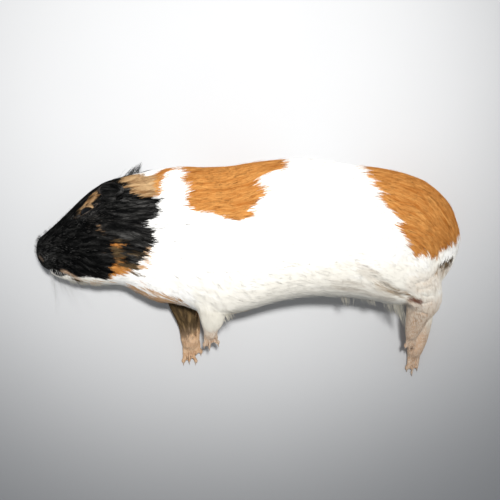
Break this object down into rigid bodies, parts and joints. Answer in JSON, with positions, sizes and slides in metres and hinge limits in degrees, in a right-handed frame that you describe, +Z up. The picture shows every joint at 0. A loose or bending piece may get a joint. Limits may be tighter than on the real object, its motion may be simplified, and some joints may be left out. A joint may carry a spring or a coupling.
{
  "type": "guinea pig",
  "caption": "Life-size smooth-coated guinea pig in black, orange and white, lying flat on its right side with legs stretched out and eyes nearly shut; a still model.",
  "frame": {"origin": "middle of the outline on the floor", "axes": "+X from the nose to the rump, +Y from the feet to the back, +Z up through the left flank, which is on top"},
  "size_m": [0.2563, 0.1339, 0.0717],
  "materials": {
    "fur_white": "short glossy hair, white",
    "fur_black": "short glossy hair, black",
    "fur_brown": "short hair, dark brown",
    "bare_skin": "bare, finely creased skin, pinkish brown",
    "eye": "wet and glossy, nearly black",
    "claw": "smooth horn"
  },
  "bodies": {
    "root": {"head": "fur_black", "lower_jaw": "fur_white", "neck": "fur_white", "trunk": "fur_white", "foreleg_left": "fur_white", "forepaw_left": "bare_skin", "foreleg_right": "fur_brown", "forepaw_right": "bare_skin", "hindleg_left": "fur_white", "hindfoot_left": "bare_skin", "hindleg_right": "fur_white", "hindfoot_right": "bare_skin", "ear_left": "fur_black", "ear_right": "fur_black", "eye_left": "eye", "eye_right": "eye", "claw_fore_left_1": "claw", "claw_fore_left_2": "claw", "claw_fore_left_3": "claw", "claw_fore_left_4": "claw", "claw_fore_right_1": "claw", "claw_fore_right_2": "claw", "claw_fore_right_3": "claw", "claw_fore_right_4": "claw", "claw_hind_left_1": "claw", "claw_hind_left_2": "claw", "claw_hind_left_3": "claw", "claw_hind_right_1": "claw", "claw_hind_right_2": "claw", "claw_hind_right_3": "claw"}
  },
  "joints": []
}
